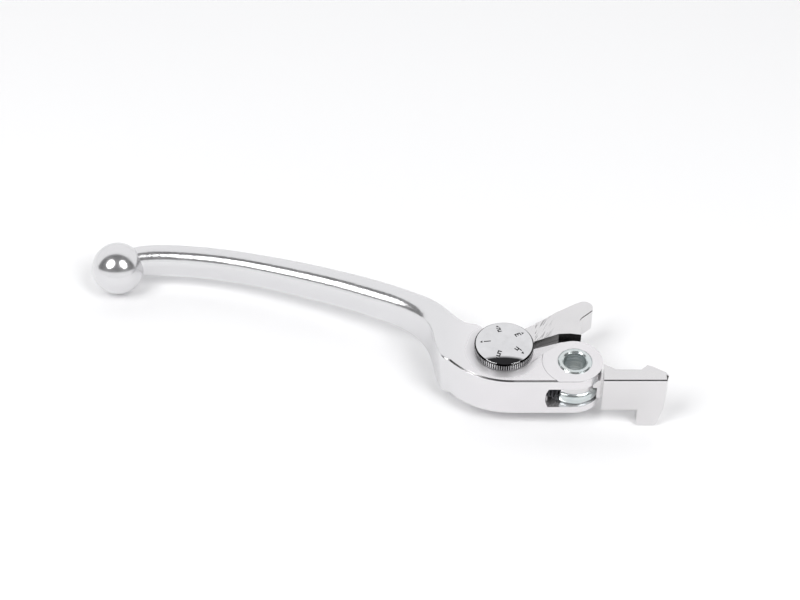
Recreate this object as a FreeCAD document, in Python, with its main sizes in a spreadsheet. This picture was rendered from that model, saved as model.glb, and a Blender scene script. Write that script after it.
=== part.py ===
import FreeCAD, Part
import math
import os
import Sketcher

# Adjustable motorcycle clutch lever: cast blade, push arm (knocker), reach dial, spring and collar.
# Millimetres.  Origin on the pivot axis at mid-height; +Z up the pivot towards the dial,
# +X towards the knocker's tail, -X towards the ball end, +Y towards the grip.

doc = FreeCAD.newDocument("ClutchLever")
sheet = doc.addObject("Spreadsheet::Sheet", "Sizes")

SIZES = [
    ("zero", 0.0),
    # blade, in plan
    ("plate_half", 8.5),
    ("edge_chamfer", 0.5),
    ("boss_rad", 9.65),
    ("bend_rad", 28.2),
    ("bend_start_x", -47.4),
    ("bend_start_y", 6.2),
    ("bend_end_x", -22.0),
    ("boss_back_x", -3.3),
    ("boss_back_y", 9.068),
    ("waist_x", -14.6),
    ("waist_y", 9.0),
    ("cam_back_x", -21.0),
    ("cam_back_y", 12.0),
    ("cheek_x", -28.0),
    ("cheek_y", 12.8),
    ("heel_x", -34.6),
    ("heel_y", 16.7),
    # ball end
    ("ball_rad", 9.5),
    ("ball_x", -164.5),
    ("ball_y", 53.6),
    # fork slot
    ("slot_top", 4.15),
    ("slot_bottom", -5.0),
    ("window_x", -9.3),
    ("window_bow_rad", 10.1),
    ("window_bow_depth", 3.0),
    ("slot_front_y", 3.2),
    ("slot_left_x", -30.6),
    ("slot_shoulder_x", -18.74),
    ("slot_turn_rad", 6.1),
    ("slot_reach", 24.0),
    ("spot_rad", 11.4),
    ("spot_depth", 0.4),
    ("bevel_x", -15.5),
    ("bevel_y", -1.4),
    ("bevel_heading", 39.4),
    ("bevel_slope", 30.0),
    ("bevel_nick_x", -3.5),
    ("bevel_length", 17.0),
    ("bevel_width", 16.0),
    ("bevel_side_x", 6.0),
    ("bevel_arc_rad", 10.6),
    # pivot collar
    ("collar_rad", 6.0),
    ("collar_bore", 4.0),
    ("collar_half", 8.5),
    ("collar_chamfer", 0.5),
    ("run_gap", 0.05),
    # reach dial and cam
    ("dial_x", -24.5),
    ("dial_y", 5.2),
    ("dial_rad", 10.35),
    ("dial_rim_rad", 9.85),
    ("dial_base", 8.8),
    ("dial_knurl_top", 11.2),
    ("dial_rim_top", 11.6),
    ("dial_crown", 13.0),
    ("dome_rad", 35.35),
    ("knurl_depth", 0.25),
    ("knurl_half", 0.2),
    ("knurl_count", 80),
    ("socket_rad", 2.6),
    ("socket_top", 11.0),
    ("mark_floor", 11.75),
    ("mark_rad", 4.7),
    ("mark_scale", 1.4),
    ("mark_start", 178.0),
    ("mark_step", -72.0),
    ("journal_rad", 5.9),
    ("journal_top", 8.75),
    ("spigot_rad", 2.57),
    ("spigot_top", 10.9),
    ("cam_top", 4.2),
    ("cam_bottom", -4.7),
    ("cam_low", 3.4),
    ("cam_rise", 2.0),
    ("cam_sweep", 288.0),
    ("tip_rad", 2.9),
    ("tip_end", -8.3),
    ("recess_rad", 5.4),
    ("recess_floor", -6.9),
    ("washer_rad", 4.9),
    ("washer_thick", 0.4),
    ("clip_rad", 4.6),
    ("clip_top", -7.35),
    ("clip_thick", 0.55),
    ("clip_seat_rad", 2.3),
    ("clip_mouth", 1.7),
    # preload spring, square to a line through the pivot
    ("spring_turn", 34.0),
    ("spring_reach", 9.0),
    ("spring_z", -0.4),
    ("wire_rad", 0.42),
    ("coil_rad", 2.18),
    ("coil_pitch", 1.35),
    ("coil_start", -11.75),
    ("coil_length", 11.28),
    ("well_rad", 2.85),
    ("well_mouth", 3.0),
    ("well_end", 12.3),
    ("notch_inner", 6.38),
    ("notch_outer", 14.0),
    ("notch_back", 12.0),
    # knocker
    ("hub_rad", 8.3),
    ("hub_bottom", 0.2),
    ("arm_top", 4.0),
    ("arm_crest", 4.5),
    ("arm_bottom", -4.85),
    ("web_top", 1.5),
    ("ring_top", 0.15),
    ("ring_rad", 9.45),
    ("ring_edge", 2.0),
    ("ring_room", 9.5),
    ("ring_sweep", 9.9),
    ("push_x", 3.4),
    ("nose_rad", 3.1),
    ("follower_rad", 2.5),
    ("cam_gap", 0.25),
    ("tail_high", 20.0),
    ("neck_x", 5.2),
    ("neck_y", -1.6),
    ("neck_end", 11.0),
    ("neck_front", -5.4),
    ("tail_back", 1.0),
    ("tail_depth", 7.8),
    ("tail_left", 9.5),
    ("tail_top", 8.0),
    ("tail_bottom", -7.3),
    ("tail_end", 32.4),
    ("tail_knee_z", -1.5),
    ("tail_shin_x", 30.7),
    ("tail_shin_z", -9.0),
    ("foot_left", 22.2),
    ("foot_right", 29.2),
    ("foot_bottom", -15.8),
    ("foot_round", 1.4),
    ("tip_chamfer", 1.3),
    ("tail_edge", 0.35),
]

# Sections of the blade, ball end first: centre x, centre y, turn of the width about Z,
# half width, half height, corner radius.
RIBS = [
    (-160.0, 56.6, 90.0, 4.5, 5.2, 3.9),
    (-153.5, 57.5, 89.0, 4.5, 5.9, 4.1),
    (-142.0, 57.3, 85.5, 4.5, 6.1, 4.1),
    (-127.1, 55.4, 81.5, 4.5, 6.2, 4.1),
    (-112.2, 52.1, 76.5, 4.6, 6.3, 4.2),
    (-97.3, 47.8, 73.0, 4.9, 6.6, 4.4),
    (-82.6, 42.9, 70.5, 5.0, 6.8, 4.5),
    (-68.0, 37.1, 67.0, 5.2, 7.1, 4.6),
    (-57.6, 31.9, 57.0, 5.0, 7.5, 4.2),
    (-49.8, 25.8, 43.5, 5.0, 8.1, 3.0),
    (-45.7, 19.8, 32.0, 5.28, 8.4, 1.7),
    (-42.1, 12.95, 39.4, 7.9, 8.49, 0.7),
    (-37.3, 7.35, 48.8, 9.4, 8.49, 0.6),
]


def fill_sheet():
    """Write every driving size into the spreadsheet, one alias per row."""
    row = 1
    entries = list(SIZES)
    for number, rib in enumerate(RIBS):
        names = ("x", "y", "turn", "half_width", "half_height", "corner")
        for name, value in zip(names, rib):
            entries.append(("rib%d_%s" % (number, name), value))
        entries.append(("rib%d_flat" % number, "=rib%d_half_width - rib%d_corner" % (number, number)))
        entries.append(("rib%d_side" % number, "=rib%d_half_height - rib%d_corner" % (number, number)))
    for alias, value in entries:
        cell = "A%d" % row
        sheet.set(cell, str(value))
        sheet.setAlias(cell, alias)
        row += 1
    doc.recompute()


def size(name):
    """Number held by a sheet alias; a leading minus negates it."""
    if name.startswith("-"):
        return -float(sheet.get(name[1:]))
    return float(sheet.get(name))


def bound(name):
    """Expression that reads a sheet alias; a leading minus negates it."""
    if name.startswith("-"):
        return "-Sizes." + name[1:]
    return "Sizes." + name


def origin_plane(body, role):
    for feature in body.Origin.OriginFeatures:
        if feature.Role == role:
            return feature
    raise ValueError(role)


def new_body(label):
    body = doc.addObject("PartDesign::Body", label)
    body.Label = label
    return body


def new_sketch(body, name, role, offset=None):
    """Sketch on one of the body's own origin planes, lifted along its normal by a sheet value."""
    sketch = body.newObject("Sketcher::SketchObject", name)
    sketch.AttachmentSupport = [(origin_plane(body, role), "")]
    sketch.MapMode = "FlatFace"
    if offset:
        sketch.setExpression("AttachmentOffset.Base.z", bound(offset))
    doc.recompute()
    return sketch


def pin_vertex(sketch, edge, point, across, along):
    """Hold one end of a sketch edge at a pair of sheet values."""
    for kind, name in (("DistanceX", across), ("DistanceY", along)):
        index = sketch.addConstraint(Sketcher.Constraint(kind, -1, 1, edge, point, size(name)))
        sketch.setExpression("Constraints[%d]" % index, bound(name))


def draw_outline(sketch, corners, arcs=None):
    """Closed outline through named corners; arcs maps an edge number to (radius name, bulge side)."""
    arcs = arcs or {}
    count = len(corners)
    spots = [FreeCAD.Vector(size(across), size(along), 0) for across, along in corners]
    for number in range(count):
        start = spots[number]
        end = spots[(number + 1) % count]
        if number in arcs:
            radius_name, side = arcs[number]
            sketch.addGeometry(arc_between(start, end, size(radius_name), side), False)
        else:
            sketch.addGeometry(Part.LineSegment(start, end), False)
    for number in range(count):
        after = (number + 1) % count
        end_point = far_point(arcs, number)
        next_point = near_point(arcs, after)
        sketch.addConstraint(Sketcher.Constraint("Coincident", number, end_point, after, next_point))
    for number, (across, along) in enumerate(corners):
        pin_vertex(sketch, number, near_point(arcs, number), across, along)
    for number, (radius_name, side) in arcs.items():
        index = sketch.addConstraint(Sketcher.Constraint("Radius", number, size(radius_name)))
        sketch.setExpression("Constraints[%d]" % index, bound(radius_name))


def near_point(arcs, number):
    """Sketcher's point number for the end of an edge where the outline arrives."""
    if number in arcs and arcs[number][1] == "right":
        return 2
    return 1


def far_point(arcs, number):
    return 3 - near_point(arcs, number)


def arc_between(start, end, radius, side):
    """Arc from start to end; 'left' turns anticlockwise, 'right' clockwise."""
    chord = end - start
    middle = (start + end) * 0.5
    height = math.sqrt(max(radius * radius - chord.Length * chord.Length / 4, 0))
    normal = FreeCAD.Vector(-chord.y, chord.x, 0)
    normal.normalize()
    centre = middle + normal * height
    if side == "right":
        centre = middle - normal * height
    first = math.atan2(start.y - centre.y, start.x - centre.x)
    last = math.atan2(end.y - centre.y, end.x - centre.x)
    if side == "right":
        first, last = last, first
    if last < first:
        last += 2 * math.pi
    circle = Part.Circle(centre, FreeCAD.Vector(0, 0, 1), radius)
    return Part.ArcOfCircle(circle, first, last)


def add_circle(sketch, radius, across=None, along=None):
    """Circle with a named radius, at named coordinates or at the sketch's origin."""
    centre = FreeCAD.Vector(0, 0, 0)
    if across:
        centre = FreeCAD.Vector(size(across), size(along), 0)
    index = sketch.addGeometry(Part.Circle(centre, FreeCAD.Vector(0, 0, 1), size(radius)), False)
    if across:
        pin_vertex(sketch, index, 3, across, along)
    else:
        sketch.addConstraint(Sketcher.Constraint("Coincident", index, 3, -1, 1))
    row = sketch.addConstraint(Sketcher.Constraint("Radius", index, size(radius)))
    sketch.setExpression("Constraints[%d]" % row, bound(radius))


def pad(body, sketch, name, length, back=False):
    feature = body.newObject("PartDesign::Pad", name)
    feature.Profile = sketch
    feature.setExpression("Length", length)
    feature.Reversed = back
    doc.recompute()
    return feature


def pocket(body, sketch, name, length, back=False):
    feature = body.newObject("PartDesign::Pocket", name)
    feature.Profile = sketch
    feature.setExpression("Length", length)
    feature.Reversed = back
    doc.recompute()
    return feature


def cylinder(body, kind, name, radius, low, high, across=None, along=None):
    """Upright PartDesign cylinder between two heights, added to or cut from the body."""
    feature = body.newObject("PartDesign::%sCylinder" % kind, name)
    feature.AttachmentSupport = [(origin_plane(body, "XY_Plane"), "")]
    feature.MapMode = "FlatFace"
    feature.setExpression("Radius", radius)
    feature.setExpression("Height", "%s - (%s)" % (high, low))
    feature.setExpression("AttachmentOffset.Base.z", low)
    if across:
        feature.setExpression("AttachmentOffset.Base.x", bound(across))
        feature.setExpression("AttachmentOffset.Base.y", bound(along))
    doc.recompute()
    return feature


def edges_where(shape, wanted):
    """Names of the edges of a shape that satisfy a test."""
    return ["Edge%d" % (number + 1) for number, edge in enumerate(shape.Edges) if wanted(edge)]


def at_height(edge, height):
    box = edge.BoundBox
    return abs(box.ZMin - height) < 0.001 and abs(box.ZMax - height) < 0.001


def chamfer_edges(body, base, names, name, amount):
    feature = body.newObject("PartDesign::Chamfer", name)
    feature.Base = (base, names)
    feature.setExpression("Size", bound(amount))
    doc.recompute()
    return feature


def fillet_edges(body, base, names, name, amount):
    feature = body.newObject("PartDesign::Fillet", name)
    feature.Base = (base, names)
    feature.setExpression("Radius", bound(amount))
    doc.recompute()
    return feature


def rib_sketch(body, number):
    """One upright cross-section of the blade: a rectangle with rounded corners."""
    prefix = "rib%d_" % number
    sketch = body.newObject("Sketcher::SketchObject", "Rib%d" % number)
    sketch.AttachmentSupport = [(origin_plane(body, "XZ_Plane"), "")]
    sketch.MapMode = "FlatFace"
    sketch.AttachmentOffset = FreeCAD.Placement(
        FreeCAD.Vector(0, 0, 0), FreeCAD.Rotation(FreeCAD.Vector(0, 1, 0), size(prefix + "turn")))
    sketch.setExpression("AttachmentOffset.Base.x", bound(prefix + "x"))
    sketch.setExpression("AttachmentOffset.Base.z", bound("-" + prefix + "y"))
    sketch.setExpression("AttachmentOffset.Rotation.Angle", bound(prefix + "turn"))
    flat, side = prefix + "flat", prefix + "side"
    wide, tall = prefix + "half_width", prefix + "half_height"
    corners = [("-" + flat, "-" + tall), (flat, "-" + tall), (wide, "-" + side), (wide, side),
               (flat, tall), ("-" + flat, tall), ("-" + wide, side), ("-" + wide, "-" + side)]
    corner = prefix + "corner"
    draw_outline(sketch, corners, {1: (corner, "left"), 3: (corner, "left"),
                                   5: (corner, "left"), 7: (corner, "left")})
    doc.recompute()
    return sketch


def cut_spring_well(body):
    """Blind bore for the preload spring, drilled in through the slot's mouth."""
    turn = math.radians(size("spring_turn"))
    along = FreeCAD.Vector(math.cos(turn), -math.sin(turn), 0)
    outward = FreeCAD.Vector(-math.sin(turn), -math.cos(turn), 0)
    mouth = outward * size("spring_reach") - along * size("well_mouth")
    sketch = body.newObject("Sketcher::SketchObject", "SpringWell")
    sketch.AttachmentSupport = [(origin_plane(body, "XZ_Plane"), "")]
    sketch.MapMode = "FlatFace"
    sketch.AttachmentOffset = FreeCAD.Placement(
        FreeCAD.Vector(mouth.x, size("spring_z"), -mouth.y),
        FreeCAD.Rotation(FreeCAD.Vector(0, 1, 0), 90 - size("spring_turn")))
    add_circle(sketch, "well_rad")
    pocket(body, sketch, "SpringWellBore", "Sizes.well_end - Sizes.well_mouth")


def cut_bevel(body):
    """Plane cut that thins the fork's upper ear behind the spot face."""
    heading = math.radians(size("bevel_heading"))
    slope = math.radians(size("bevel_slope"))
    along = FreeCAD.Vector(math.cos(heading), math.sin(heading), 0)
    down = FreeCAD.Vector(-math.sin(heading) * math.cos(slope), math.cos(heading) * math.cos(slope),
                          -math.sin(slope))
    up = along.cross(down)
    sketch = new_sketch(body, "BevelPlane", "XY_Plane")
    turn = FreeCAD.Rotation(along, down, up, "ZXY")
    spot = FreeCAD.Vector(size("bevel_x"), size("bevel_y"), size("plate_half"))
    sketch.AttachmentOffset = FreeCAD.Placement(spot, turn)
    draw_outline(sketch, [("bevel_nick_x", "zero"), ("bevel_length", "zero"),
                          ("bevel_length", "bevel_width"), ("bevel_side_x", "bevel_width")],
                 {3: ("bevel_arc_rad", "right")})
    return pocket(body, sketch, "RearBevel", "Sizes.plate_half", back=True)


def make_blade():
    body = new_body("blade")
    outline = new_sketch(body, "PlateOutline", "XY_Plane", "-plate_half")
    draw_outline(outline, [
        ("bend_start_x", "bend_start_y"), ("bend_end_x", "-boss_rad"), ("zero", "-boss_rad"),
        ("boss_rad", "zero"), ("boss_back_x", "boss_back_y"), ("waist_x", "waist_y"), ("cam_back_x", "cam_back_y"),
        ("cheek_x", "cheek_y"), ("heel_x", "heel_y")],
        {0: ("bend_rad", "left"), 2: ("boss_rad", "left"), 3: ("boss_rad", "left")})
    plate = pad(body, outline, "Plate", "2 * Sizes.plate_half")
    rims = edges_where(plate.Shape, lambda edge: at_height(edge, size("plate_half"))
                       or at_height(edge, -size("plate_half")))
    chamfer_edges(body, plate, rims, "PlateEdges", "edge_chamfer")

    sections = [rib_sketch(body, number) for number in range(len(RIBS))]
    arm = body.newObject("PartDesign::AdditiveLoft", "Arm")
    arm.Profile = sections[0]
    arm.Sections = sections[1:]
    doc.recompute()
    ball = body.newObject("PartDesign::AdditiveSphere", "BallEnd")
    ball.AttachmentSupport = [(origin_plane(body, "XY_Plane"), "")]
    ball.MapMode = "FlatFace"
    # Turned half round so that the sphere's seam is away from the arm.
    ball.AttachmentOffset = FreeCAD.Placement(
        FreeCAD.Vector(), FreeCAD.Rotation(FreeCAD.Vector(0, 0, 1), 180))
    ball.setExpression("Radius", bound("ball_rad"))
    ball.setExpression("AttachmentOffset.Base.x", bound("ball_x"))
    ball.setExpression("AttachmentOffset.Base.y", bound("ball_y"))
    doc.recompute()

    slot = new_sketch(body, "SlotOutline", "XY_Plane", "slot_bottom")
    draw_outline(slot, [
        ("window_x", "-slot_reach"), ("slot_reach", "-slot_reach"), ("slot_reach", "slot_reach"),
        ("slot_left_x", "slot_reach"), ("slot_left_x", "dial_y"), ("slot_shoulder_x", "slot_front_y"),
        ("window_x", "slot_front_y")],
        {4: ("slot_turn_rad", "left")})
    pocket(body, slot, "Slot", "Sizes.slot_top - Sizes.slot_bottom", back=True)
    bow = new_sketch(body, "WindowBow", "XZ_Plane", "boss_rad")
    draw_outline(bow, [("window_x", "slot_top"), ("window_x", "slot_bottom")],
                 {0: ("window_bow_rad", "left")})
    pocket(body, bow, "RoundedWindowEnd", "Sizes.window_bow_depth")
    cylinder(body, "Subtractive", "RingSweep", "Sizes.ring_sweep", "Sizes.slot_bottom",
             "Sizes.slot_top")
    cut_spring_well(body)

    cylinder(body, "Subtractive", "PivotHole", "Sizes.collar_rad + Sizes.run_gap",
             "-Sizes.plate_half", "Sizes.plate_half")
    cylinder(body, "Subtractive", "TopSpotFace", "Sizes.spot_rad",
             "Sizes.plate_half - Sizes.spot_depth", "Sizes.plate_half")
    cylinder(body, "Subtractive", "BottomSpotFace", "Sizes.spot_rad",
             "-Sizes.plate_half", "-Sizes.plate_half + Sizes.spot_depth")
    cylinder(body, "Subtractive", "JournalHole", "Sizes.journal_rad + Sizes.run_gap",
             "Sizes.slot_top", "Sizes.plate_half", "dial_x", "dial_y")
    cylinder(body, "Subtractive", "TipHole", "Sizes.tip_rad + Sizes.run_gap",
             "-Sizes.plate_half", "Sizes.slot_bottom", "dial_x", "dial_y")
    cylinder(body, "Subtractive", "ClipRecess", "Sizes.recess_rad",
             "-Sizes.plate_half", "Sizes.recess_floor", "dial_x", "dial_y")
    cut_bevel(body)
    return body


def make_collar():
    body = new_body("pivot_collar")
    sketch = new_sketch(body, "CollarRings", "XY_Plane", "-collar_half")
    add_circle(sketch, "collar_rad")
    add_circle(sketch, "collar_bore")
    tube = pad(body, sketch, "Tube", "2 * Sizes.collar_half")
    ends = edges_where(tube.Shape, lambda edge: at_height(edge, size("collar_half"))
                       or at_height(edge, -size("collar_half")))
    chamfer_edges(body, tube, ends, "CollarEnds", "collar_chamfer")
    return body


def loose_outline(sketch, spots):
    """Closed outline through plain coordinates, held where it is drawn."""
    for number, (across, along) in enumerate(spots):
        after = spots[(number + 1) % len(spots)]
        edge = sketch.addGeometry(Part.LineSegment(FreeCAD.Vector(across, along, 0),
                                                   FreeCAD.Vector(after[0], after[1], 0)), False)
        sketch.addConstraint(Sketcher.Constraint("Block", edge))


# Plan of the knocker's push arm, from the cam follower round to the piston face and back.
ARM_FRONT = [(-23.6, 9.07), (-12.6, 12.9), (-4.5, 16.3), (-0.6, 16.5)]
ARM_BACK = [(2.1, 31.1), (-5.0, 26.8), (-9.1, 23.6), (-12.8, 21.4), (-22.0, 16.2), (-25.6, 13.9)]
ARM_STEP = [(-13.6, 10.0), (-12.4, 23.0), (-34.0, 23.0), (-34.0, 5.0), (-13.6, 5.0)]
WEB = [(-13.8, 12.4), (-8.4, 3.6), (-5.0, 0.0), (7.6, 1.5), (5.0, 10.0), (2.4, 17.2), (-4.5, 17.4)]
TAIL_TRIM = [(10.1, -1.2), (13.9, -3.7), (22.8, -3.7), (25.0, -1.7), (26.9, -2.4), (30.8, -4.8),
             (32.3, -5.4), (31.2, -8.9), (36.0, -8.9), (36.0, 2.0), (8.0, 2.0), (8.0, -1.2)]
HEEL_TRIM = [(9.4, -9.5), (9.5, -8.8), (10.1, -1.0), (8.0, -1.0), (8.0, -9.5)]


def add_arm(body):
    """Push arm: follower nose at the cam, flat piston face and rounded tip."""
    sketch = new_sketch(body, "ArmPlan", "XY_Plane", "arm_bottom")
    follower = FreeCAD.Vector(size("dial_x"), size("dial_y") + size("cam_low") + size("cam_gap")
                              + size("follower_rad"), 0)
    reach = size("follower_rad")
    low = math.radians(-69.0)
    high = math.radians(120.0)
    front = FreeCAD.Vector(follower.x + reach * math.cos(low), follower.y + reach * math.sin(low), 0)
    back = FreeCAD.Vector(follower.x + reach * math.cos(high), follower.y + reach * math.sin(high), 0)
    corners = [front] + [FreeCAD.Vector(x, y, 0) for x, y in ARM_FRONT[1:]]
    corners += [FreeCAD.Vector(size("push_x"), 15.9, 0), FreeCAD.Vector(size("push_x"), 23.1, 0),
                FreeCAD.Vector(4.2, 24.3, 0), FreeCAD.Vector(8.1, 27.8, 0)]
    tip_end = FreeCAD.Vector(4.4, 32.1, 0)
    rest = [FreeCAD.Vector(x, y, 0) for x, y in ARM_BACK] + [back]
    edges = [Part.LineSegment(a, b) for a, b in zip(corners, corners[1:])]
    edges.append(arc_between(corners[-1], tip_end, size("nose_rad"), "left"))
    edges += [Part.LineSegment(a, b) for a, b in zip([tip_end] + rest, rest)]
    edges.append(arc_between(back, front, reach, "left"))
    for edge in edges:
        index = sketch.addGeometry(edge, False)
        sketch.addConstraint(Sketcher.Constraint("Block", index))
    doc.recompute()
    return pad(body, sketch, "Arm", "Sizes.arm_crest - Sizes.arm_bottom")


def add_tail(body):
    """Tail bar with its foot, drawn from the front and trimmed in plan."""
    sketch = new_sketch(body, "TailFront", "XZ_Plane", "tail_back")
    draw_outline(sketch, [
        ("tail_left", "tail_bottom"), ("foot_left", "tail_bottom"), ("foot_left", "foot_bottom"),
        ("foot_right", "foot_bottom"), ("tail_shin_x", "tail_shin_z"), ("tail_end", "tail_knee_z"),
        ("tail_end", "tail_top"), ("tail_left", "tail_top")])
    tail = pad(body, sketch, "Tail", "Sizes.tail_depth")
    soles = edges_where(tail.Shape, lambda edge: edge.BoundBox.ZMax < size("foot_bottom") + 0.01
                        and edge.BoundBox.XLength < 0.01)
    tail = fillet_edges(body, tail, soles, "FootCorners", "foot_round")
    front = size("tail_back") - size("tail_depth")
    brows = edges_where(tail.Shape, lambda edge: edge.BoundBox.YMax < front + 0.01
                        and at_height(edge, size("tail_top")))
    tail = chamfer_edges(body, tail, brows, "BrowBevel", "tail_edge")
    tips = edges_where(tail.Shape, lambda edge: edge.BoundBox.XMin > size("tail_end") - 0.01
                       and at_height(edge, size("tail_top")))
    chamfer_edges(body, tail, tips, "TipBevel", "tip_chamfer")
    for name, spots in (("BackTrim", TAIL_TRIM), ("HeelTrim", HEEL_TRIM)):
        trim = new_sketch(body, name + "Plan", "XY_Plane", "tail_high")
        loose_outline(trim, spots)
        pocket(body, trim, name, "2 * Sizes.tail_high")


def make_knocker():
    body = new_body("knocker")
    add_tail(body)
    neck = new_sketch(body, "NeckPlan", "XY_Plane", "arm_bottom")
    draw_outline(neck, [("neck_x", "neck_front"), ("neck_end", "neck_front"),
                        ("neck_end", "neck_y"), ("neck_x", "neck_y")])
    pad(body, neck, "Neck", "Sizes.arm_top - Sizes.arm_bottom")
    cylinder(body, "Additive", "Hub", "Sizes.hub_rad", "Sizes.hub_bottom", "Sizes.arm_top")
    web = new_sketch(body, "WebPlan", "XY_Plane", "arm_bottom")
    loose_outline(web, WEB)
    pad(body, web, "Web", "Sizes.web_top - Sizes.arm_bottom")
    add_arm(body)
    cylinder(body, "Subtractive", "RingRoom", "Sizes.ring_room",
             "Sizes.arm_bottom - Sizes.collar_chamfer", "Sizes.hub_bottom")
    cylinder(body, "Subtractive", "HubBore", "Sizes.collar_rad + Sizes.run_gap",
             "Sizes.arm_bottom", "Sizes.arm_top")
    step = new_sketch(body, "StepPlan", "XY_Plane", "tail_top")
    loose_outline(step, ARM_STEP)
    pocket(body, step, "ArmStep", "Sizes.tail_top - Sizes.arm_top")
    cut_seat(body)
    return body


def cut_seat(body):
    """Notch with a radial flat that the preload spring pushes on."""
    sketch = new_sketch(body, "NotchPlan", "XY_Plane")
    sketch.AttachmentOffset = FreeCAD.Placement(
        FreeCAD.Vector(0, 0, size("tail_top")),
        FreeCAD.Rotation(FreeCAD.Vector(0, 0, 1), -size("spring_turn")))
    draw_outline(sketch, [("-notch_back", "-notch_outer"), ("zero", "-notch_outer"),
                          ("zero", "-notch_inner"), ("-notch_back", "-notch_inner")])
    pocket(body, sketch, "SpringNotch", "2 * Sizes.tail_top")


def make_ring():
    body = new_body("thrust_ring")
    sketch = new_sketch(body, "RingCircle", "XY_Plane", "arm_bottom")
    add_circle(sketch, "ring_rad")
    disc = pad(body, sketch, "Disc", "Sizes.ring_top - Sizes.arm_bottom")
    rims = edges_where(disc.Shape, lambda edge: edge.BoundBox.ZLength < 0.001)
    fillet_edges(body, disc, rims, "RoundedRim", "ring_edge")
    cylinder(body, "Subtractive", "RingBore", "Sizes.collar_rad + Sizes.run_gap",
             "Sizes.arm_bottom", "Sizes.ring_top")
    cut_seat(body)
    return body


# Block numerals on a unit cell, top edge towards +Y.
NUMERALS = [
    [(0.35, 0), (0.65, 0), (0.65, 1.7), (0.35, 1.7)],
    [(0, 0), (1, 0), (1, 0.3), (0.3, 0.3), (0.3, 0.7), (1, 0.7), (1, 1.7), (0, 1.7), (0, 1.4),
     (0.7, 1.4), (0.7, 1.0), (0, 1.0)],
    [(0, 0), (1, 0), (1, 1.7), (0, 1.7), (0, 1.4), (0.7, 1.4), (0.7, 1.0), (0.2, 1.0), (0.2, 0.7),
     (0.7, 0.7), (0.7, 0.3), (0, 0.3)],
    [(0.7, 0), (1, 0), (1, 1.7), (0.7, 1.7), (0.7, 1.0), (0.3, 1.0), (0.3, 1.7), (0, 1.7), (0, 0.7),
     (0.7, 0.7)],
    [(1, 0), (0, 0), (0, 0.3), (0.7, 0.3), (0.7, 0.7), (0, 0.7), (0, 1.7), (1, 1.7), (1, 1.4),
     (0.3, 1.4), (0.3, 1.0), (1, 1.0)],
]
POINTER = [(0.1, -0.35), (0.5, -1.0), (0.9, -0.35)]


def dial_marks(sketch):
    """Numerals with their tops towards the dial's centre and a pointer outside each."""
    for number, numeral in enumerate(NUMERALS):
        heading = math.radians(size("mark_start") + number * size("mark_step"))
        out = FreeCAD.Vector(math.cos(heading), math.sin(heading), 0)
        side = FreeCAD.Vector(-out.y, out.x, 0)
        for shape in (numeral, POINTER):
            spots = []
            for across, along in shape:
                radius = size("mark_rad") + (1.7 - along) * size("mark_scale")
                spot = out * radius + side * (across - 0.5) * size("mark_scale")
                spots.append((spot.x, spot.y))
            loose_outline(sketch, spots)


def make_dial():
    """Knurled, domed reach dial, built on its own axis and then put in place."""
    body = new_body("adjuster_dial")
    sketch = new_sketch(body, "DialProfile", "XZ_Plane")
    draw_outline(sketch, [("zero", "dial_base"), ("dial_rad", "dial_base"),
                          ("dial_rad", "dial_knurl_top"), ("dial_rim_rad", "dial_rim_top"),
                          ("zero", "dial_crown")], {3: ("dome_rad", "left")})
    turned = body.newObject("PartDesign::Revolution", "DialTurned")
    turned.Profile = sketch
    turned.ReferenceAxis = (sketch, ["V_Axis"])
    turned.Angle = 360
    doc.recompute()
    cylinder(body, "Subtractive", "Socket", "Sizes.socket_rad", "Sizes.dial_base", "Sizes.socket_top")
    marks = new_sketch(body, "MarkPlan", "XY_Plane", "dial_crown")
    dial_marks(marks)
    pocket(body, marks, "Marks", "Sizes.dial_crown - Sizes.mark_floor")
    groove = new_sketch(body, "KnurlPlan", "XY_Plane", "dial_crown")
    outer = size("dial_rad") + size("knurl_half")
    loose_outline(groove, [(size("dial_rad") - size("knurl_depth"), 0),
                           (outer, -2 * size("knurl_half")), (outer, 2 * size("knurl_half"))])
    cut = pocket(body, groove, "KnurlGroove", "Sizes.dial_crown - Sizes.dial_base")
    body.Tip = cut
    ring = body.newObject("PartDesign::PolarPattern", "Knurl")
    ring.Originals = [cut]
    ring.Axis = (sketch, ["V_Axis"])
    ring.Angle = 360
    ring.Occurrences = int(size("knurl_count"))
    body.Tip = ring
    doc.recompute()
    body.setExpression("Placement.Base.x", bound("dial_x"))
    body.setExpression("Placement.Base.y", bound("dial_y"))
    return body


def spiral_face(low, rise, sweep):
    """Cam outline: its radius grows evenly over the sweep, then a chord closes it."""
    steps = 36
    spots = []
    for step in range(steps + 1):
        share = step / steps
        heading = math.radians(90 - share * sweep)
        radius = low + share * rise
        spots.append(FreeCAD.Vector(radius * math.cos(heading), radius * math.sin(heading), 0))
    curve = Part.BSplineCurve()
    curve.interpolate(spots)
    wire = Part.Wire([curve.toShape(), Part.LineSegment(spots[-1], spots[0]).toShape()])
    return Part.Face(wire)


def upright(radius, low, high):
    return Part.makeCylinder(radius, high - low, FreeCAD.Vector(0, 0, low))


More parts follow.
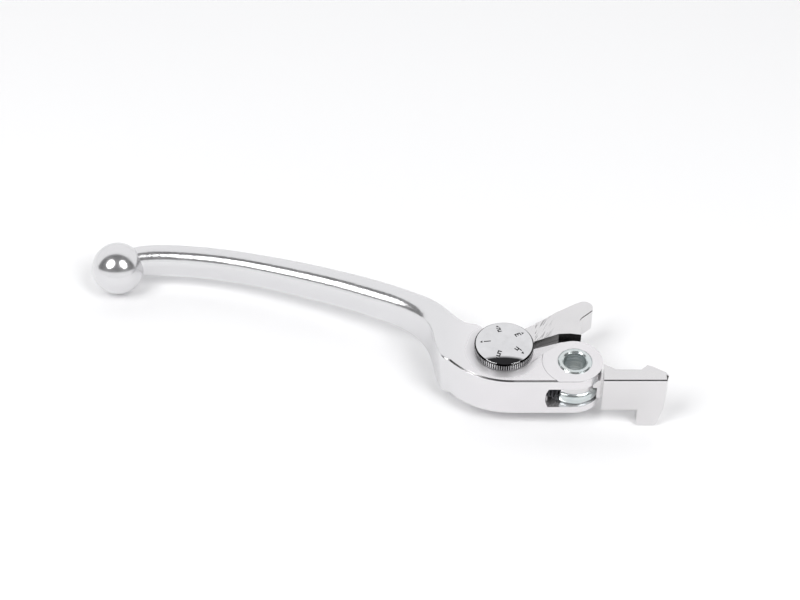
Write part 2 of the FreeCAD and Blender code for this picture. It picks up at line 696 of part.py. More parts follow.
def make_cam():
    """Cam spindle: spigot for the dial, journal, spiral cam and grooved tip."""
    spindle = doc.addObject("Part::Feature", "cam_shaft")
    spindle.Label = "cam_shaft"
    lobe = spiral_face(size("cam_low"), size("cam_rise"), size("cam_sweep"))
    lobe.translate(FreeCAD.Vector(0, 0, size("cam_bottom")))
    solid = lobe.extrude(FreeCAD.Vector(0, 0, size("cam_top") - size("cam_bottom")))
    solid = solid.fuse([
        upright(size("journal_rad"), size("cam_top"), size("journal_top")),
        upright(size("spigot_rad"), size("journal_top"), size("spigot_top")),
        upright(size("tip_rad"), size("tip_end"), size("cam_bottom"))])
    seat = upright(size("tip_rad") + 1, size("clip_top") - size("clip_thick"), size("clip_top"))
    seat = seat.cut(upright(size("clip_seat_rad"), size("tip_end"), size("clip_top")))
    spindle.Shape = solid.cut(seat).removeSplitter()
    spindle.Placement = FreeCAD.Placement(
        FreeCAD.Vector(size("dial_x"), size("dial_y"), 0), FreeCAD.Rotation())
    return spindle


def make_washer():
    body = new_body("cam_washer")
    cylinder(body, "Additive", "Disc", "Sizes.washer_rad",
             "Sizes.recess_floor - Sizes.washer_thick", "Sizes.recess_floor", "dial_x", "dial_y")
    cylinder(body, "Subtractive", "Hole", "Sizes.tip_rad + Sizes.run_gap",
             "Sizes.recess_floor - Sizes.washer_thick", "Sizes.recess_floor", "dial_x", "dial_y")
    return body


def make_clip():
    """Open retaining clip in the spindle's groove."""
    body = new_body("cam_clip")
    low = "Sizes.clip_top - Sizes.clip_thick"
    cylinder(body, "Additive", "Disc", "Sizes.clip_rad", low, "Sizes.clip_top", "dial_x", "dial_y")
    cylinder(body, "Subtractive", "Hole", "Sizes.clip_seat_rad + Sizes.run_gap", low,
             "Sizes.clip_top", "dial_x", "dial_y")
    mouth = body.newObject("PartDesign::SubtractiveBox", "Mouth")
    mouth.AttachmentSupport = [(origin_plane(body, "XY_Plane"), "")]
    mouth.MapMode = "FlatFace"
    mouth.setExpression("Length", bound("clip_rad"))
    mouth.setExpression("Width", "2 * Sizes.clip_mouth")
    mouth.setExpression("Height", bound("clip_rad"))
    mouth.setExpression("AttachmentOffset.Base.x", "Sizes.dial_x - Sizes.clip_rad - Sizes.run_gap")
    mouth.setExpression("AttachmentOffset.Base.y", "Sizes.dial_y - Sizes.clip_mouth")
    mouth.setExpression("AttachmentOffset.Base.z", "Sizes.clip_top - Sizes.clip_rad / 2")
    doc.recompute()
    return body


def make_spring():
    """Preload coil, wound along its own X axis and then turned into its bore."""
    body = new_body("preload_spring")
    sketch = new_sketch(body, "WireSection", "XZ_Plane")
    add_circle(sketch, "wire_rad", "coil_start", "coil_rad")
    coil = body.newObject("PartDesign::AdditiveHelix", "Coil")
    coil.Profile = sketch
    coil.ReferenceAxis = (sketch, ["H_Axis"])
    coil.Mode = "pitch-height-angle"
    coil.setExpression("Pitch", bound("coil_pitch"))
    coil.setExpression("Height", bound("coil_length"))
    doc.recompute()
    turn = math.radians(size("spring_turn"))
    outward = FreeCAD.Vector(-math.sin(turn), -math.cos(turn), 0)
    spot = outward * size("spring_reach") + FreeCAD.Vector(0, 0, size("spring_z"))
    body.Placement = FreeCAD.Placement(
        spot, FreeCAD.Rotation(FreeCAD.Vector(0, 0, 1), -size("spring_turn")))
    return body


fill_sheet()
parts = [make_blade(), make_collar(), make_knocker(), make_ring(), make_dial(), make_cam(),
         make_washer(), make_clip(), make_spring()]
doc.recompute()

for item in doc.Objects:
    if "Invalid" in item.State or "Error" in item.State:
        raise RuntimeError("%s did not recompute" % item.Label)
os.makedirs("parts", exist_ok=True)
for item in parts:
    shape = item.Shape
    if shape.isNull() or not shape.isValid():
        raise RuntimeError("%s has no valid shape" % item.Label)
    box = shape.BoundBox
    print(item.Label, len(shape.Solids), "solid,", round(shape.Volume, 1), "mm3, z",
          round(box.ZMin, 2), round(box.ZMax, 2), "x", round(box.XMin, 2), round(box.XMax, 2))
    shape.exportStep("parts/%s.step" % item.Label)
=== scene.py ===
import math

import bpy
from bpy.props import FloatProperty, FloatVectorProperty, PointerProperty
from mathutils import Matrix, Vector


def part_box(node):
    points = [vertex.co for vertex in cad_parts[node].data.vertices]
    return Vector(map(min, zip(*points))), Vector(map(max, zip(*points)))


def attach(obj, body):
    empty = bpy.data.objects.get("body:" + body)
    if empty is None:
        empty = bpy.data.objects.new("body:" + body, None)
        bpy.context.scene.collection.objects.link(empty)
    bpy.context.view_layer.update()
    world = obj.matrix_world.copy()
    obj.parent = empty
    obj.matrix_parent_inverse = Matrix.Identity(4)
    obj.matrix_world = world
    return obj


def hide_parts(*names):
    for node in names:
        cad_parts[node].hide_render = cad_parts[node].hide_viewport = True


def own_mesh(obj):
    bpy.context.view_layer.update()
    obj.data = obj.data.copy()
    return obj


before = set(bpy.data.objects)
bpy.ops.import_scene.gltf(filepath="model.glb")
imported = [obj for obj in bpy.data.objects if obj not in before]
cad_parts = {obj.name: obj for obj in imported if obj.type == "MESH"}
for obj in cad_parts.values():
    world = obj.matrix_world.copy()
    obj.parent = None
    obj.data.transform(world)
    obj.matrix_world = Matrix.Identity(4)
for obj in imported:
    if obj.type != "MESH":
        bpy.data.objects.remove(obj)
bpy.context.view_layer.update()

# Finishes, lights and camera for an adjustable motorcycle clutch lever.
# Metres, with the origin on the pivot axis: +X to the tail, +Y to the grip, +Z out of the dial
# side.

bl_info = {
    "name": "Clutch lever finishes",
    "version": (1, 0, 0),
    "blender": (4, 5, 0),
    "location": "3D View > Sidebar > Lever",
    "description": "Gives each piece of the lever its metal finish and builds a small studio",
    "category": "Material",
}

DIAL_LOW, DIAL_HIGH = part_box("adjuster_dial")
DIAL_CENTRE = (DIAL_LOW + DIAL_HIGH) / 2
BALL_RADIUS = 0.0095
BALL_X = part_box("blade")[0].x + BALL_RADIUS
FOOT_X = 0.0262
FOOT_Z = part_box("knocker")[0].z

# The blade: a height just under its flat top face, the rim of the spot face round the collar, the
# chamfer along the top edge as its middle height and the reach to either side, and the stretch
# in X where the handle's tone fades out.
BLADE_TOP = 0.0080
SPOT_RIM = 0.01142
CHAMFER_HEIGHT = (0.00825, 0.00022)
HANDLE_TONE = (-0.045, -0.030)
# The knuckle's front curve in plan: its centre, the chamfer's middle radius and the reach to
# either side, and the X and Y that bound it.
BEND_CENTRE = (-0.022, 0.01855)
BEND_RADIUS = (0.0279, 0.0005)
BEND_END_X = -0.0215
BEND_START_Y = 0.0062
# The matt ring that the dial turns on, fading outwards.
MATT_RING = (0.0118, 0.0140)

# The dial: radius of its dome, edge of the marked crown, start of its rim painted in shade, root
# of the knurl's tips, which are painted less dark, and the top of the knurl.
DOME_RADIUS = 0.03535
CROWN_EDGE = 0.0097
RIM_START = 0.00987
KNURL_TIP = 0.01032
KNURL_TOP = 0.01115

# The push arm's front wall, in plan, which is painted in shade.
ARM_WALL = ((-0.0236, 0.00907), (-0.0126, 0.0129), (-0.0045, 0.0163), (-0.0006, 0.0165),
            (0.0034, 0.0159))
# The wall under the push arm's tip, from the piston face to the rounded end.
TIP_WALL = ((0.0034, 0.0231), (0.0042, 0.0243), (0.0081, 0.0278))
# Heights just above which that wall's lip, painted in shade, and the arm's raised top begin.
LIP_HEIGHT = 0.0040
ARM_TOP = 0.00445
# Where in X the scores beside the dial fade in and out.
SCORES_START = (-0.0135, -0.0128)
SCORES_END = (-0.0095, -0.0055)
# The tail's front corner, painted in shade: all that lies beyond this point.
TAIL_CORNER = (0.0312, -0.0060, 0.0069)
# Bore of the pivot collar, with a little room.
BORE_RADIUS = 0.0042


class LeverFinish(bpy.types.PropertyGroup):
    """Colours and wear of the metals."""

    blade_colour: FloatVectorProperty(
        name="Blade alloy", description="Colour of the polished blade", subtype="COLOR",
        size=4, min=0.0, max=1.0, default=(0.80, 0.785, 0.80, 1.0))
    handle_colour: FloatVectorProperty(
        name="Handle alloy", description="Colour of the blade from the knuckle to the ball",
        subtype="COLOR", size=4, min=0.0, max=1.0, default=(0.725, 0.725, 0.735, 1.0))
    knocker_colour: FloatVectorProperty(
        name="Push arm alloy", description="Colour of the ground push arm and tail",
        subtype="COLOR", size=4, min=0.0, max=1.0, default=(0.735, 0.725, 0.73, 1.0))
    dial_colour: FloatVectorProperty(
        name="Dial chrome", description="Colour of the domed dial", subtype="COLOR",
        size=4, min=0.0, max=1.0, default=(0.72, 0.72, 0.73, 1.0))
    # Painted shade in the dial's sunk numerals: the colour of their dark fill.
    numeral_shade_colour: FloatVectorProperty(
        name="Numeral ink", description="Colour in the dial's sunk numerals", subtype="COLOR",
        size=4, min=0.0, max=1.0, default=(0.03, 0.03, 0.032, 1.0))
    zinc_colour: FloatVectorProperty(
        name="Zinc plate", description="Colour of the plated collar and thrust ring",
        subtype="COLOR", size=4, min=0.0, max=1.0, default=(0.64, 0.70, 0.71, 1.0))
    steel_colour: FloatVectorProperty(
        name="Turned steel", description="Colour of the cam spindle, washer and clip",
        subtype="COLOR", size=4, min=0.0, max=1.0, default=(0.52, 0.52, 0.53, 1.0))
    spring_colour: FloatVectorProperty(
        name="Spring wire", description="Colour of the oiled spring wire", subtype="COLOR",
        size=4, min=0.0, max=1.0, default=(0.06, 0.06, 0.065, 1.0))
    spring_keep: FloatProperty(
        name="Spring length left", description="Share of its length at the nearest reach",
        subtype="FACTOR", min=0.5, max=1.0, default=0.91)
    scratch_depth: FloatProperty(
        name="Scratch depth", description="Height of the polishing marks", subtype="DISTANCE",
        unit="LENGTH", min=0.0, max=0.0001, default=0.0000025)


class LeverStudio(bpy.types.PropertyGroup):
    """Floor, lights and camera."""

    floor_colour: FloatVectorProperty(
        name="Floor", description="Colour of the pale floor", subtype="COLOR", size=4,
        min=0.0, max=1.0, default=(0.97, 0.97, 0.975, 1.0))
    floor_width: FloatProperty(
        name="Floor width", description="Width of the floor", subtype="DISTANCE",
        unit="LENGTH", min=1.0, max=20.0, default=6.0)
    camera_height: FloatProperty(
        name="Camera angle", description="Angle of the camera above the horizon",
        subtype="ANGLE", unit="ROTATION", min=0.0, max=math.pi / 2, default=math.radians(46))
    lens: FloatProperty(
        name="Lens", description="Focal length in millimetres", min=20.0, max=200.0,
        default=90.88)
    key_power: FloatProperty(
        name="Softbox power", description="Power of each softbox", subtype="POWER",
        min=0.0, max=100.0, default=7.6)
    sky_strength: FloatProperty(
        name="Tent light", description="Strength of the light from the white tent",
        min=0.0, max=5.0, default=1.0)
    wall_light: FloatProperty(
        name="Wall brightness", description="Brightness of the tent's walls",
        min=0.0, max=2.0, default=1.0)
    opening_low: FloatProperty(
        name="Opening start", description="Lowest angle of the dark opening in front",
        subtype="ANGLE", unit="ROTATION", default=math.radians(26))
    opening_high: FloatProperty(
        name="Opening end", description="Where the opening ends behind the zenith",
        subtype="ANGLE", unit="ROTATION", default=math.radians(110))


def finish_settings():
    return bpy.context.scene.lever_finish


def studio_settings():
    return bpy.context.scene.lever_studio


# --- node helpers -------------------------------------------------------------------------


def add_node(tree, kind, **settings):
    """New node with these properties set."""
    made = tree.nodes.new(kind)
    for name, value in settings.items():
        setattr(made, name, value)
    return made


def fill(node, **values):
    """Set input sockets by name, with underscores for spaces."""
    for name, value in values.items():
        node.inputs[name.replace("_", " ")].default_value = value
    return node


def calculate(tree, operation, first, second=None, third=None):
    """Math node on sockets or plain numbers; returns its output socket."""
    node = add_node(tree, "ShaderNodeMath", operation=operation)
    for place, value in enumerate((first, second, third)):
        if value is None:
            continue
        if isinstance(value, bpy.types.NodeSocket):
            tree.links.new(value, node.inputs[place])
        else:
            node.inputs[place].default_value = value
    return node.outputs[0]


def all_of(tree, first, *others):
    """1 where every mask is 1."""
    for mask in others:
        first = calculate(tree, "MULTIPLY", first, mask)
    return first


def any_of(tree, first, *others):
    """1 where at least one mask is 1."""
    for mask in others:
        first = calculate(tree, "MAXIMUM", first, mask)
    return first


def place_on_piece(tree):
    return add_node(tree, "ShaderNodeTexCoord").outputs["Object"]


def piece_axes(tree):
    """X, Y and Z on the piece, as sockets."""
    split = add_node(tree, "ShaderNodeSeparateXYZ")
    tree.links.new(place_on_piece(tree), split.inputs[0])
    return split.outputs


def grained(tree, length, width, turn=0.0):
    """Coordinates for marks of this length and width, running along a heading about Z."""
    mapping = add_node(tree, "ShaderNodeMapping", vector_type="TEXTURE")
    tree.links.new(place_on_piece(tree), mapping.inputs["Vector"])
    mapping.inputs["Scale"].default_value = (length, width, width)
    mapping.inputs["Rotation"].default_value = (0, 0, turn)
    return mapping.outputs["Vector"]


def turned(tree, width):
    """Coordinates for rings round Z, as a lathe leaves."""
    mapping = add_node(tree, "ShaderNodeMapping", vector_type="TEXTURE")
    tree.links.new(place_on_piece(tree), mapping.inputs["Vector"])
    mapping.inputs["Scale"].default_value = (width * 12, width * 12, width)
    return mapping.outputs["Vector"]


def moved(tree, x, y):
    """Object coordinates measured from an upright axis."""
    mapping = add_node(tree, "ShaderNodeMapping", vector_type="POINT")
    tree.links.new(place_on_piece(tree), mapping.inputs["Vector"])
    mapping.inputs["Location"].default_value = (-x, -y, 0)
    return mapping.outputs["Vector"]


def around_axis(tree, x=0.0, y=0.0):
    """Distance from an upright axis, and the height; both are sockets."""
    split = add_node(tree, "ShaderNodeSeparateXYZ")
    tree.links.new(moved(tree, x, y), split.inputs[0])
    east, north, up = split.outputs
    squares = calculate(tree, "ADD", calculate(tree, "MULTIPLY", east, east),
                        calculate(tree, "MULTIPLY", north, north))
    return calculate(tree, "SQRT", squares), up


def near(tree, value, middle, reach):
    """1 within reach of the middle value, else 0."""
    return calculate(tree, "COMPARE", value, middle, reach)


def on_wall(tree, start, end):
    """1 on an upright wall that runs from start to end in plan, else 0."""
    along = Vector(end) - Vector(start)
    side = Vector((-along.y, along.x)).normalized()
    east, north, up = piece_axes(tree)
    part = calculate(tree, "MULTIPLY", east, side.x)
    whole = calculate(tree, "MULTIPLY_ADD", north, side.y, part)
    touching = near(tree, whole, side.dot(Vector(start)), 0.00007)
    middle = (start[0] + end[0]) / 2
    between = near(tree, east, middle, abs(end[0] - start[0]) / 2)
    return all_of(tree, touching, between)


def along_walls(tree, corners):
    """1 on any of the walls that join these corners in plan, else 0."""
    walls = [on_wall(tree, start, end) for start, end in zip(corners, corners[1:])]
    return any_of(tree, *walls)


def noise(tree, vector, scale, detail=4.0, roughness=0.55, distortion=0.0):
    node = add_node(tree, "ShaderNodeTexNoise")
    fill(node, Scale=scale, Detail=detail, Roughness=roughness, Distortion=distortion)
    tree.links.new(vector, node.inputs["Vector"])
    return node.outputs["Fac"]


def spread(tree, value, low, high, from_low=0.3, from_high=0.7):
    """Map a value onto a range and hold it at the ends."""
    node = add_node(tree, "ShaderNodeMapRange", clamp=True)
    tree.links.new(value, node.inputs["Value"])
    ends = {"From Min": from_low, "From Max": from_high, "To Min": low, "To Max": high}
    for name, number in ends.items():
        node.inputs[name].default_value = number
    return node.outputs["Result"]


def blend_colours(tree, share, first, second):
    """Mix of two colours, each a socket or four numbers."""
    node = add_node(tree, "ShaderNodeMix", data_type="RGBA")
    tree.links.new(share, node.inputs["Factor"])
    sockets = [socket for socket in node.inputs if socket.type == "RGBA"]
    for socket, colour in zip(sockets, (first, second)):
        if isinstance(colour, bpy.types.NodeSocket):
            tree.links.new(colour, socket)
        else:
            socket.default_value = colour
    return [socket for socket in node.outputs if socket.type == "RGBA"][0]


def raise_surface(tree, height, distance, strength=1.0, under=None):
    node = fill(add_node(tree, "ShaderNodeBump"), Strength=strength, Distance=distance)
    tree.links.new(height, node.inputs["Height"])
    if under is not None:
        tree.links.new(under, node.inputs["Normal"])
    return node.outputs["Normal"]


def shade(colour, share):
    """A darker or lighter version of a colour."""
    return tuple(min(1.0, part * share) for part in colour[:3]) + (1.0,)


def new_metal(name, colour, roughness):
    """Metal material; returns it with its node tree and its shader."""
    material = bpy.data.materials.new(name)
    material.use_nodes = True
    material.diffuse_color = colour
    tree = material.node_tree
    shader = tree.nodes["Principled BSDF"]
    shader.inputs["Base Color"].default_value = colour
    shader.inputs["Metallic"].default_value = 1.0
    shader.inputs["Roughness"].default_value = roughness
    return material, tree, shader


def wear_in(tree, shader, colour, tones, rough, grain, depth, blotch=45.0):
    """Cloudy colour, uneven roughness and fine directional marks for a worked metal.

    Returns the colour, roughness and normal sockets, so that a finish can add to them.
    """
    marks = noise(tree, grain, 1.0, 3.0, 0.5)
    clouds = noise(tree, place_on_piece(tree), blotch, 3.0, 0.5)
    smears = noise(tree, place_on_piece(tree), blotch * 6, 5.0, 0.6, 0.4)
    tint = blend_colours(tree, spread(tree, clouds, 0.0, 1.0),
                         shade(colour, tones[0]), shade(colour, tones[1]))
    tree.links.new(tint, shader.inputs["Base Color"])
    gloss = calculate(tree, "ADD", spread(tree, smears, rough[0], rough[1]),
                      spread(tree, marks, -0.02, 0.03))
    tree.links.new(gloss, shader.inputs["Roughness"])
    normal = raise_surface(tree, marks, depth, 0.5)
    tree.links.new(normal, shader.inputs["Normal"])
    return tint, gloss, normal


def polished_alloy():
    """Polished casting: greyer handle, matt ring under the dial, painted shade along the spot
    face's rim and a painted dark reflection along the knuckle's top chamfer.
    """
    settings = finish_settings()
    colour = tuple(settings.blade_colour)
    material, tree, shader = new_metal("polished_alloy", colour, 0.2)
    shader.inputs["Metallic"].default_value = 0.82
    grain = grained(tree, 0.005, 0.0006, math.radians(-20))
    tint, gloss, normal = wear_in(tree, shader, colour, (0.97, 1.03), (0.15, 0.23), grain,
                                  settings.scratch_depth)
    east, north, up = piece_axes(tree)
    towards_ball = spread(tree, east, 0.85, 0.0, *HANDLE_TONE)
    toned = blend_colours(tree, towards_ball, tint, tuple(settings.handle_colour))

    on_top = calculate(tree, "GREATER_THAN", up, BLADE_TOP)
    # Painted shade: a dark line along the spot face's rim, in the corner of its step.
    spot_rim_shade = all_of(tree, near(tree, around_axis(tree)[0], SPOT_RIM, 0.0001), on_top)
    with_spot_rim_shade = blend_colours(tree, spot_rim_shade, toned, shade(colour, 0.35))
    # Painted dark reflection: the knuckle's top chamfer darkened along its front curve.
    chamfer_shade = all_of(tree, near(tree, up, *CHAMFER_HEIGHT),
                    near(tree, around_axis(tree, *BEND_CENTRE)[0], *BEND_RADIUS),
                    calculate(tree, "LESS_THAN", east, BEND_END_X),
                    calculate(tree, "LESS_THAN", north, BEND_START_Y))
    tree.links.new(blend_colours(tree, chamfer_shade, with_spot_rim_shade, shade(colour, 0.3)),
                   shader.inputs["Base Color"])

    dial_radius = around_axis(tree, DIAL_CENTRE.x, DIAL_CENTRE.y)[0]
    matt = all_of(tree, on_top, spread(tree, dial_radius, 0.3, 0.0, *MATT_RING))
    tree.links.new(calculate(tree, "ADD", gloss, matt), shader.inputs["Roughness"])
    return material


def ground_alloy():
    """Ground push arm and tail: scored beside the dial, with painted shade on the arm's front
    wall, on the lip of the wall under the tip and on the tail's front corner.
    """
    settings = finish_settings()
    colour = tuple(settings.knocker_colour)
    material, tree, shader = new_metal("ground_alloy", colour, 0.3)
    grain = grained(tree, 0.004, 0.0007, math.radians(28))
    tint, gloss, normal = wear_in(tree, shader, colour, (0.96, 1.03), (0.15, 0.21), grain,
                                  settings.scratch_depth * 0.4)
    east, north, up = piece_axes(tree)
    scores = noise(tree, grained(tree, 0.005, 0.0006, math.radians(62)), 1.0, 3.0)
    scored = all_of(tree, spread(tree, scores, 0.0, 0.6, 0.54, 0.64),
                    spread(tree, east, 0.0, 1.0, *SCORES_START),
                    spread(tree, east, 1.0, 0.0, *SCORES_END),
                    calculate(tree, "GREATER_THAN", up, ARM_TOP))
    tint = blend_colours(tree, scored, tint, shade(colour, 0.3))
    # Painted shade: the lip of the wall under the arm's tip, the arm's front wall and the tail's
    # front corner are darkened nearly to black.
    lip = all_of(tree, along_walls(tree, TIP_WALL),
                 calculate(tree, "GREATER_THAN", up, LIP_HEIGHT))
    corner = all_of(tree, calculate(tree, "GREATER_THAN", east, TAIL_CORNER[0]),
                    calculate(tree, "LESS_THAN", north, TAIL_CORNER[1]),
                    calculate(tree, "GREATER_THAN", up, TAIL_CORNER[2]))
    dark = any_of(tree, along_walls(tree, ARM_WALL), lip, corner)
    tree.links.new(blend_colours(tree, dark, tint, shade(colour, 0.03)),
                   shader.inputs["Base Color"])
    return material


def zinc_plate():
    """Plated steel whose film shifts between teal and a pale straw."""
    settings = finish_settings()
    colour = tuple(settings.zinc_colour)
    material, tree, shader = new_metal("zinc_plate", colour, 0.2)
    shader.inputs["Metallic"].default_value = 0.85
    grain = turned(tree, 0.0003)
    tint, gloss, normal = wear_in(tree, shader, colour, (0.90, 1.05), (0.17, 0.25), grain,
                                  settings.scratch_depth * 0.4, 120.0)
    film = spread(tree, noise(tree, place_on_piece(tree), 210.0, 2.0), 0.0, 0.35)
    straw = (0.74, 0.72, 0.66, 1.0)
    tree.links.new(blend_colours(tree, film, tint, straw), shader.inputs["Base Color"])
    radius, up = around_axis(tree)
    lathe = add_node(tree, "ShaderNodeTexNoise", noise_dimensions="1D")
    fill(lathe, Scale=1100.0, Detail=2.0)
    tree.links.new(up, lathe.inputs["W"])
    cuts = all_of(tree, lathe.outputs["Fac"], calculate(tree, "LESS_THAN", radius, BORE_RADIUS))
    tree.links.new(raise_surface(tree, cuts, 0.00025, 0.6, normal), shader.inputs["Normal"])
    return material


def turned_steel():
    """Plain steel with rings left by the lathe."""
    settings = finish_settings()
    colour = tuple(settings.steel_colour)
    material, tree, shader = new_metal("turned_steel", colour, 0.3)
    grain = turned(tree, 0.0003)
    wear_in(tree, shader, colour, (0.85, 1.05), (0.22, 0.38), grain, settings.scratch_depth * 2)
    return material


def spring_wire():
    """Oiled black wire."""
    settings = finish_settings()
    colour = tuple(settings.spring_colour)
    material, tree, shader = new_metal("spring_wire", colour, 0.3)
    grain = grained(tree, 0.0008, 0.0004)
    wear_in(tree, shader, colour, (0.6, 1.6), (0.22, 0.42), grain, settings.scratch_depth, 300.0)
    return material


def dial_chrome():
    """Domed chrome: painted shade in the sunk numerals and over the rim, the knurl's tips painted
    less dark, turned rings on the crown.
    """
    settings = finish_settings()
    colour = tuple(settings.dial_colour)
    recess_shade = tuple(settings.numeral_shade_colour)
    material, tree, shader = new_metal("dial_chrome", colour, 0.2)
    radius, up = around_axis(tree, DIAL_CENTRE.x, DIAL_CENTRE.y)
    fall = calculate(tree, "MULTIPLY", calculate(tree, "MULTIPLY", radius, radius),
                     0.5 / DOME_RADIUS)
    below_dome = calculate(tree, "SUBTRACT", calculate(tree, "SUBTRACT", DIAL_HIGH.z, fall), up)
    # Painted shade in the sunk numerals: a dark, non-metallic fill below the dome.
    shaded_numerals = all_of(tree, calculate(tree, "GREATER_THAN", below_dome, 0.00004),
                   calculate(tree, "LESS_THAN", radius, CROWN_EDGE))
    # Painted shade: the rim and knurl are darkened nearly to black, the knurl's tips only by
    # about half.
    rim = calculate(tree, "GREATER_THAN", radius, RIM_START)
    tips = all_of(tree, calculate(tree, "GREATER_THAN", radius, KNURL_TIP),
                  calculate(tree, "LESS_THAN", up, KNURL_TOP))
    rim_shade_band = calculate(tree, "SUBTRACT", rim, tips)

    clouds = noise(tree, place_on_piece(tree), 160.0, 4.0, 0.6)
    tint = blend_colours(tree, spread(tree, clouds, 0.0, 1.0), shade(colour, 0.94),
                         shade(colour, 1.05))
    tips_dimmed = blend_colours(tree, tips, tint, shade(colour, 0.55))
    with_rim_shade = blend_colours(tree, rim_shade_band, tips_dimmed, shade(colour, 0.03))
    tree.links.new(blend_colours(tree, shaded_numerals, with_rim_shade, recess_shade), shader.inputs["Base Color"])
    tree.links.new(calculate(tree, "SUBTRACT", 1.0, shaded_numerals), shader.inputs["Metallic"])
    smears = noise(tree, place_on_piece(tree), 900.0, 5.0, 0.6, 0.3)
    gloss = spread(tree, smears, 0.02, 0.04)
    rough = calculate(tree, "ADD", gloss, calculate(tree, "MULTIPLY", shaded_numerals, 0.35))
    tree.links.new(rough, shader.inputs["Roughness"])
    rings = add_node(tree, "ShaderNodeTexNoise", noise_dimensions="1D")
    fill(rings, Scale=9000.0, Detail=3.0)
    tree.links.new(radius, rings.inputs["W"])
    tree.links.new(raise_surface(tree, rings.outputs["Fac"], settings.scratch_depth, 0.06),
                   shader.inputs["Normal"])
    return material


def dress(node_name, material):
    """Give a node of the frame one finish all over."""
    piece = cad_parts[node_name]
    piece.data.materials.clear()
    piece.data.materials.append(material)
    return piece


# --- operators ----------------------------------------------------------------------------


class LEVER_OT_blade(bpy.types.Operator):
    """Finish the polished blade"""

    bl_idname = "lever.blade"
    bl_label = "Blade"

    def execute(self, context):
        dress("blade", polished_alloy())
        return {"FINISHED"}


class LEVER_OT_push_arm(bpy.types.Operator):
    """Finish the ground push arm and tail"""

    bl_idname = "lever.push_arm"
    bl_label = "Push arm"

    def execute(self, context):
        dress("knocker", ground_alloy())
        return {"FINISHED"}


class LEVER_OT_pivot(bpy.types.Operator):
    """Finish the pivot collar and the thrust ring"""

    bl_idname = "lever.pivot"
    bl_label = "Pivot collar and ring"

    def execute(self, context):
        plate = zinc_plate()
        dress("pivot_collar", plate)
        dress("thrust_ring", plate)
        return {"FINISHED"}


class LEVER_OT_dial(bpy.types.Operator):
    """Finish the numbered reach dial"""

    bl_idname = "lever.dial"
    bl_label = "Reach dial"

    def execute(self, context):
        dress("adjuster_dial", dial_chrome())
        return {"FINISHED"}


class LEVER_OT_cam(bpy.types.Operator):
    """Finish the cam spindle, its washer and its clip"""

    bl_idname = "lever.cam"
    bl_label = "Cam parts"

    def execute(self, context):
        steel = turned_steel()
        for name in ("cam_shaft", "cam_washer", "cam_clip"):
            dress(name, steel)
        return {"FINISHED"}


class LEVER_OT_spring(bpy.types.Operator):
    """Give the preload spring its wire finish and set a copy of it on the blade in its place"""

    bl_idname = "lever.spring"
    bl_label = "Preload spring"

    def execute(self, context):
        coil = dress("preload_spring", spring_wire())
        spring = bpy.data.objects.new("spring_coil", coil.data.copy())
        context.collection.objects.link(spring)
        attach(spring, "blade")
        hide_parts("preload_spring")
        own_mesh(spring)
        return {"FINISHED"}


def floor_paint():
    """Pale matt floor with a faint mottle."""
    colour = tuple(studio_settings().floor_colour)
    material = bpy.data.materials.new("floor_paint")
    material.use_nodes = True
    tree = material.node_tree
    shader = tree.nodes["Principled BSDF"]
    clouds = noise(tree, place_on_piece(tree), 3.0, 3.0)
    tint = blend_colours(tree, clouds, shade(colour, 0.99), shade(colour, 1.0))
    tree.links.new(tint, shader.inputs["Base Color"])
    tree.links.new(spread(tree, clouds, 0.55, 0.65), shader.inputs["Roughness"])
    shader.inputs["Specular IOR Level"].default_value = 0.2
    return material


def lay_floor():
    """Floor just under the ball and the foot, so it leans a little."""
    room = 0.0001
    ball_rest = -BALL_RADIUS - room
    foot_rest = FOOT_Z - room
    lean = math.atan2(ball_rest - foot_rest, FOOT_X - BALL_X)
    middle = Vector(((BALL_X + FOOT_X) / 2, 0, (ball_rest + foot_rest) / 2))
    bpy.ops.mesh.primitive_plane_add(size=studio_settings().floor_width, location=middle,
                                     rotation=(0, lean, 0))
    floor = bpy.context.active_object
    floor.name = "studio_floor"
    bpy.ops.object.transform_apply(location=True, rotation=True, scale=True)
    floor.data.materials.append(floor_paint())


def add_softbox(name, place, target, width, height, power):
    """Oval soft light aimed at a target."""
    bpy.ops.object.light_add(type="AREA", location=place)
    lamp = bpy.context.active_object
    lamp.name = name
    lamp.data.shape = "ELLIPSE"
    lamp.data.size = width
    lamp.data.size_y = height
    lamp.data.energy = power
    aim = Vector(target) - Vector(place)
    lamp.rotation_euler = aim.to_track_quat("-Z", "Y").to_euler()


def light_room():
    """White tent with a dark opening above and in front, where the softboxes hang."""
    settings = studio_settings()
    world = bpy.data.worlds.new("white_tent")
    world.use_nodes = True
    tree = world.node_tree
    backdrop = tree.nodes["Background"]
    split = add_node(tree, "ShaderNodeSeparateXYZ")
    tree.links.new(add_node(tree, "ShaderNodeTexCoord").outputs["Generated"], split.inputs[0])
    away = calculate(tree, "MULTIPLY", split.outputs["Y"], -1.0)
    height = calculate(tree, "ARCTAN2", split.outputs["Z"], away)
    low, high = settings.opening_low, settings.opening_high
    opening = all_of(tree, spread(tree, height, 0.0, 1.0, low - 0.02, low + 0.02),
                     spread(tree, height, 1.0, 0.0, high - 0.03, high + 0.03))
    wall = settings.wall_light
    tree.links.new(blend_colours(tree, opening, (wall, wall, wall * 1.01, 1),
                                 (0.035, 0.035, 0.037, 1)), backdrop.inputs["Color"])
    backdrop.inputs["Strength"].default_value = settings.sky_strength
    bpy.context.scene.world = world


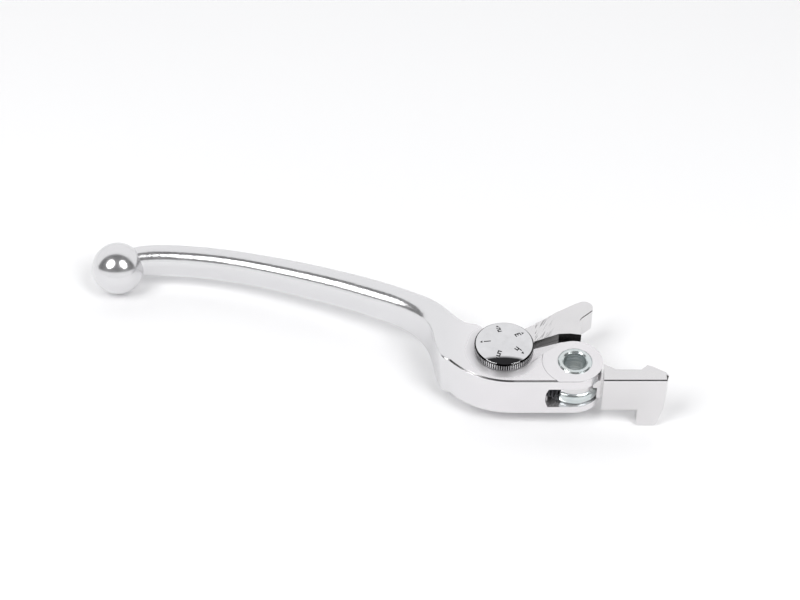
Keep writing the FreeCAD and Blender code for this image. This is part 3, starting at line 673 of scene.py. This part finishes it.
def set_camera():
    """Camera in front and above, with the pivot right of and below the middle of its view."""
    settings = studio_settings()
    tilt = settings.camera_height
    distance = 0.7
    right_of_middle = 0.06069
    below_middle = 0.02097
    pivot = Vector((0, 0, 0.0085))
    look = Vector((0, math.cos(tilt), -math.sin(tilt)))
    rise = Vector((0, math.sin(tilt), math.cos(tilt)))
    place = pivot - look * distance + rise * below_middle - Vector((right_of_middle, 0, 0))
    bpy.ops.object.camera_add(location=place, rotation=(math.pi / 2 - tilt, 0, 0))
    camera = bpy.context.active_object
    camera.name = "camera"
    camera.data.sensor_width = 36.0
    camera.data.lens = settings.lens
    camera.data.clip_start = 0.01
    bpy.context.scene.camera = camera


class LEVER_OT_studio(bpy.types.Operator):
    """Build the floor, the softboxes, the white room and the camera"""

    bl_idname = "lever.studio"
    bl_label = "Studio"

    def execute(self, context):
        bpy.ops.object.select_all(action="DESELECT")
        power = studio_settings().key_power
        lay_floor()
        target = (-0.05, 0.02, 0)
        add_softbox("softbox_left", (-0.66, -0.42, 0.98), target, 0.62, 0.80, power)
        add_softbox("softbox_right", (0.50, -0.42, 0.98), target, 0.52, 0.80, power * 0.85)
        light_room()
        set_camera()
        scene = context.scene
        scene.view_settings.view_transform = "Standard"
        scene.view_settings.look = "None"
        return {"FINISHED"}


STEPS = [LEVER_OT_blade, LEVER_OT_push_arm, LEVER_OT_pivot, LEVER_OT_dial, LEVER_OT_cam,
         LEVER_OT_spring, LEVER_OT_studio]


class LEVER_PT_panel(bpy.types.Panel):
    """Sidebar panel that lists the steps and the settings"""

    bl_idname = "LEVER_PT_panel"
    bl_label = "Clutch lever"
    bl_space_type = "VIEW_3D"
    bl_region_type = "UI"
    bl_category = "Lever"

    def draw(self, context):
        layout = self.layout
        for step in STEPS:
            layout.operator(step.bl_idname)
        for group in (context.scene.lever_finish, context.scene.lever_studio):
            box = layout.box()
            for name in group.bl_rna.properties.keys():
                if name not in {"rna_type", "name"}:
                    box.prop(group, name)


CLASSES = [LeverFinish, LeverStudio] + STEPS + [LEVER_PT_panel]


def register():
    for kind in CLASSES:
        bpy.utils.register_class(kind)
    bpy.types.Scene.lever_finish = PointerProperty(type=LeverFinish)
    bpy.types.Scene.lever_studio = PointerProperty(type=LeverStudio)


def unregister():
    del bpy.types.Scene.lever_studio
    del bpy.types.Scene.lever_finish
    for kind in reversed(CLASSES):
        bpy.utils.unregister_class(kind)


def main():
    register()
    bpy.ops.object.select_all(action="DESELECT")
    bpy.ops.lever.blade()
    bpy.ops.lever.push_arm()
    bpy.ops.lever.pivot()
    bpy.ops.lever.dial()
    bpy.ops.lever.cam()
    bpy.ops.lever.spring()
    bpy.ops.lever.studio()


if __name__ == "__main__":
    main()
